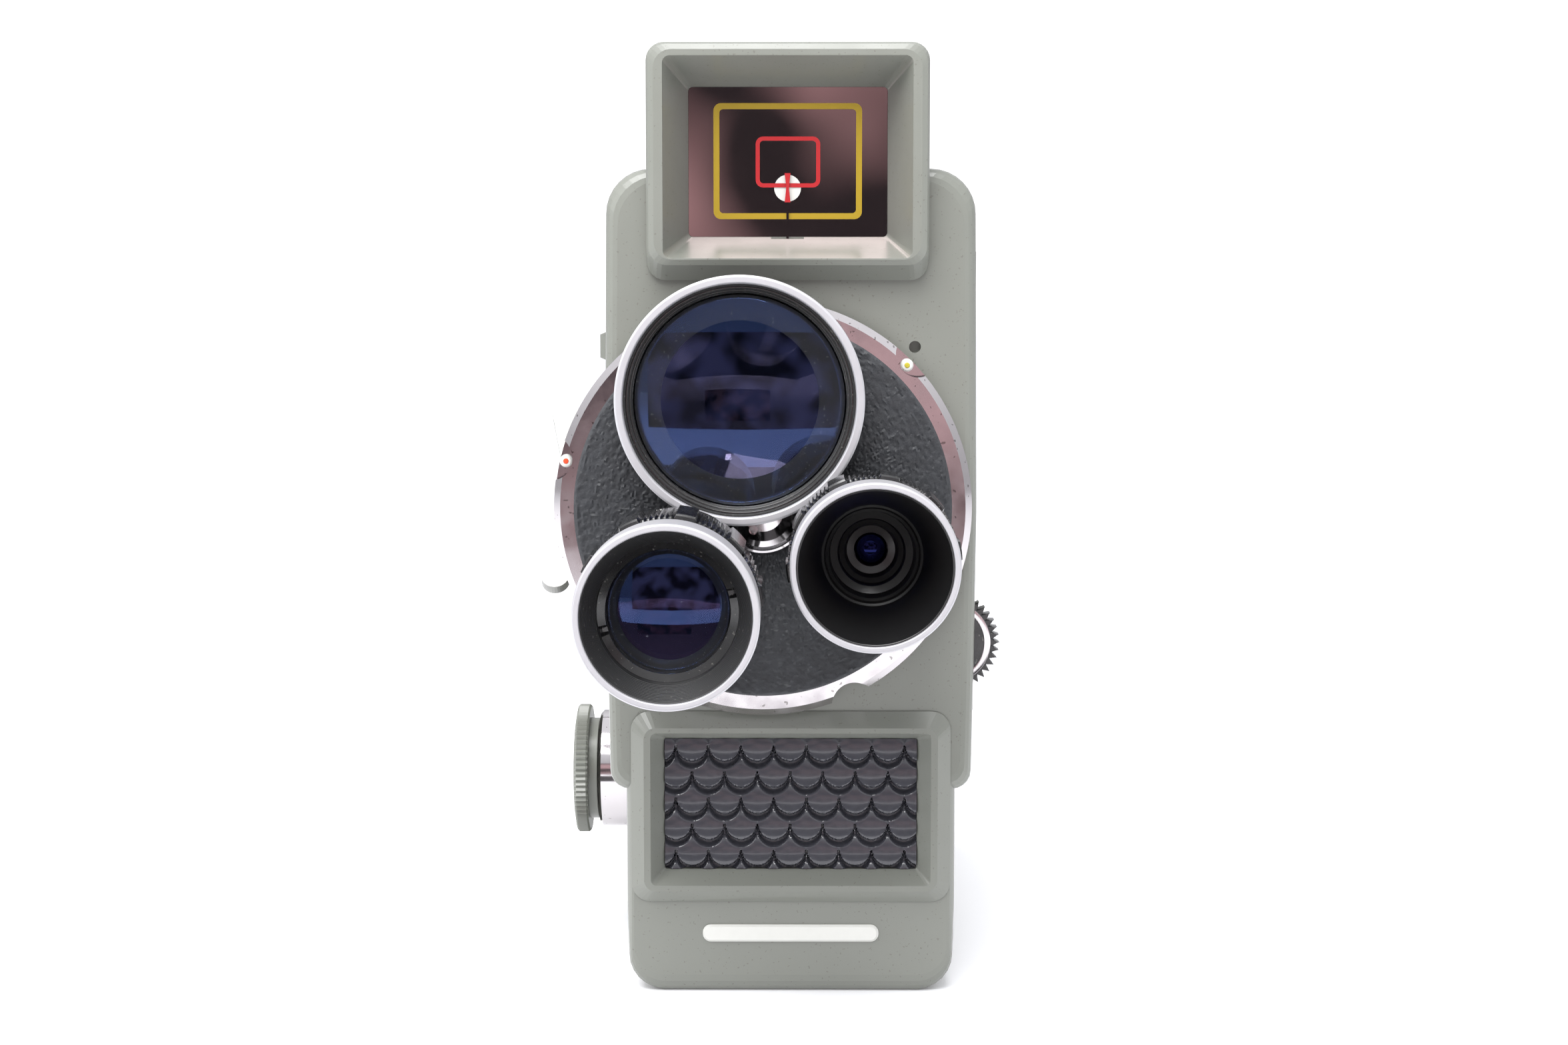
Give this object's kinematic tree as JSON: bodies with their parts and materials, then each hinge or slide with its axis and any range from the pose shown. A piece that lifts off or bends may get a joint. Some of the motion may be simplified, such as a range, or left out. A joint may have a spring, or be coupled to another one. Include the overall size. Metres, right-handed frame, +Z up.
{
  "type": "cine camera",
  "caption": "Spring-wound 8 mm cine camera with a turret of lenses, a framed optical finder on top, a selenium light cell, a side film door and a folding winding key.",
  "frame": {"origin": "centre of the tripod socket's mouth, on the base", "axes": "+Z up, -Y the way the lenses look, +X towards the film door"},
  "size_m": [0.0662, 0.1382, 0.1284],
  "materials": {
    "painted_body": "semi-gloss grey-green enamel",
    "bright_chrome": "polished",
    "satin_silver": "fine satin",
    "steel": "plain",
    "black_lens_paint": "semi-gloss black",
    "leatherette": "fine pebble grain",
    "brass": "turned",
    "coated_glass": "blue-violet anti-reflection coating",
    "finder_mirror": "dark half-silvered glass",
    "yellow_mark": "printed line",
    "red_mark": "printed line",
    "white_mark": "white enamel",
    "cell_lens": "moulded lenticular window over dark cell",
    "selenium": "matt dark coating",
    "spool_grey": "black enamel"
  },
  "bodies": {
    "camera": {"body_casting": "painted_body", "front_housing": "painted_body", "winding_cover": "painted_body", "cover_screws": "steel", "door_hinge_pin": "steel", "tripod_bush": "brass", "release_bush": "satin_silver", "finder_housing": "painted_body", "finder_front_glass": "finder_mirror", "frame_line_outer": "yellow_mark", "frame_line_inner": "red_mark", "meter_disc": "white_mark", "galvanometer": "brass", "cell_frame": "painted_body", "cell_window": "cell_lens", "selenium_cell": "selenium", "name_bar": "white_mark", "gate_plate": "steel", "pressure_plate": "steel", "dial_base": "bright_chrome"},
    "door": {"film_door": "painted_body"},
    "door_latch": {"door_latch": "painted_body"},
    "eyepiece": {"eyepiece_ring": "black_lens_paint", "eyepiece_glass": "coated_glass"},
    "meter": {"meter_arm": "black_lens_paint", "meter_needle": "red_mark"},
    "turret": {"turret_disc": "bright_chrome", "turret_leather": "leatherette", "turret_hub": "bright_chrome", "turret_hub_screw": "bright_chrome", "turret_dots": "red_mark", "wide_lens_barrel": "black_lens_paint", "wide_lens_bezel": "satin_silver", "wide_lens_glass": "coated_glass", "tele_lens_barrel": "black_lens_paint", "tele_lens_bezel": "satin_silver", "tele_lens_cone": "black_lens_paint", "tele_lens_glass": "coated_glass", "normal_lens_barrel": "black_lens_paint", "normal_lens_bezel": "satin_silver", "normal_lens_hood": "black_lens_paint", "normal_lens_glass": "coated_glass"},
    "wide_focus": {"wide_lens_focus_ring": "black_lens_paint"},
    "tele_focus": {"tele_lens_focus_ring": "black_lens_paint"},
    "normal_focus": {"normal_lens_focus_ring": "black_lens_paint"},
    "claw": {"film_claw": "steel"},
    "shutter": {"shutter": "steel"},
    "transfer": {"transfer_gear": "brass"},
    "mainspring": {"mainspring_barrel": "brass", "mainspring": "steel"},
    "arbor": {"winding_arbor": "bright_chrome"},
    "key": {"winding_key": "satin_silver"},
    "train": {"train_wheel": "brass"},
    "governor": {"governor": "brass"},
    "supply": {"supply_spool": "spool_grey"},
    "takeup": {"takeup_spool": "spool_grey"},
    "speed": {"speed_wheel": "black_lens_paint"},
    "film_speed": {"film_speed_dial": "painted_body"},
    "release": {"release_slide": "painted_body"},
    "footage": {"footage_dial": "white_mark"}
  },
  "joints": [
    {"name": "turret_turn", "type": "hinge", "parent": "camera", "child": "turret", "pos_m": [-0.0037, -0.049, 0.067], "axis": [0, 1, 0], "continuous": true},
    {"name": "wide_focus_turn", "type": "hinge", "parent": "turret", "child": "wide_focus", "pos_m": [-0.00664, -0.049, 0.08171], "axis": [0, 1, 0], "range_deg": [-120, 60]},
    {"name": "tele_focus_turn", "type": "hinge", "parent": "turret", "child": "tele_focus", "pos_m": [-0.01497, -0.049, 0.0571], "axis": [0, 1, 0], "range_deg": [-200, 40]},
    {"name": "normal_focus_turn", "type": "hinge", "parent": "turret", "child": "normal_focus", "pos_m": [0.01051, -0.049, 0.06219], "axis": [0, 1, 0], "range_deg": [-160, 40]},
    {"name": "door_swing", "type": "hinge", "parent": "camera", "child": "door", "pos_m": [0.0239, -0.0365, 0.07], "axis": [0, 0, -1], "range_deg": [0, 88]},
    {"name": "latch_turn", "type": "hinge", "parent": "door", "child": "door_latch", "pos_m": [0.025, 0.026, 0.058], "axis": [1, 0, 0], "range_deg": [0, 90]},
    {"name": "eyepiece_focus", "type": "hinge", "parent": "camera", "child": "eyepiece", "pos_m": [-0.0004, 0.054, 0.118], "axis": [0, 1, 0], "range_deg": [-90, 90]},
    {"name": "meter_swing", "type": "hinge", "parent": "camera", "child": "meter", "pos_m": [-0.0005, -0.0394, 0.0925], "axis": [0, 1, 0], "range_deg": [-4.5, 4.5], "stiffness_Nm_per_rad": 0.00005},
    {"name": "claw_stroke", "type": "slide", "parent": "camera", "child": "claw", "axis": [0, 0, 1], "range_m": [-0.0019, 0.0019]},
    {"name": "barrel_turn", "type": "hinge", "parent": "camera", "child": "mainspring", "pos_m": [-0.013, 0.01, 0.0635], "axis": [1, 0, 0], "continuous": true},
    {"name": "arbor_turn", "type": "hinge", "parent": "camera", "child": "arbor", "pos_m": [-0.02, 0.01, 0.0635], "axis": [1, 0, 0], "continuous": true},
    {"name": "key_fold", "type": "hinge", "parent": "arbor", "child": "key", "pos_m": [-0.0277, 0.01, 0.0635], "axis": [0, 0.6691, 0.7431], "range_deg": [0, 90]},
    {"name": "train_turn", "type": "hinge", "parent": "camera", "child": "train", "pos_m": [-0.012, -0.00539, 0.0438], "axis": [1, 0, 0], "continuous": true},
    {"name": "governor_turn", "type": "hinge", "parent": "camera", "child": "governor", "pos_m": [-0.012, -0.01052, 0.0297], "axis": [1, 0, 0], "continuous": true},
    {"name": "transfer_turn", "type": "hinge", "parent": "camera", "child": "transfer", "pos_m": [-0.00628, -0.035, 0.04909], "axis": [0, 1, 0], "continuous": true},
    {"name": "shutter_turn", "type": "hinge", "parent": "camera", "child": "shutter", "pos_m": [0.00601, -0.04, 0.05769], "axis": [0, 1, 0], "continuous": true},
    {"name": "supply_turn", "type": "hinge", "parent": "camera", "child": "supply", "pos_m": [0.0065, 0.022, 0.0826], "axis": [1, 0, 0], "continuous": true},
    {"name": "takeup_turn", "type": "hinge", "parent": "camera", "child": "takeup", "pos_m": [0.0065, 0.022, 0.0308], "axis": [1, 0, 0], "continuous": true},
    {"name": "speed_wheel_turn", "type": "hinge", "parent": "camera", "child": "speed", "pos_m": [0.0216, -0.04, 0.048], "axis": [0, 1, 0], "range_deg": [0, 270]},
    {"name": "film_speed_turn", "type": "hinge", "parent": "camera", "child": "film_speed", "pos_m": [-0.03, -0.012, 0.025], "axis": [1, 0, 0], "range_deg": [-135, 135]},
    {"name": "release_slide", "type": "slide", "parent": "camera", "child": "release", "axis": [0, 0, -1], "range_m": [0, 0.004], "stiffness_N_per_m": 120, "springref_m": -0.001},
    {"name": "footage_turn", "type": "hinge", "parent": "camera", "child": "footage", "pos_m": [-0.02, 0.036, 0.096], "axis": [1, 0, 0], "continuous": true}
  ],
  "couplings": [
    {"joint": "train_turn", "follows": "barrel_turn", "ratio": -7.3333},
    {"joint": "governor_turn", "follows": "barrel_turn", "ratio": 29.333},
    {"joint": "transfer_turn", "follows": "barrel_turn", "ratio": -14.667},
    {"joint": "shutter_turn", "follows": "barrel_turn", "ratio": 58.667},
    {"joint": "footage_turn", "follows": "barrel_turn", "ratio": 0.125}
  ]
}
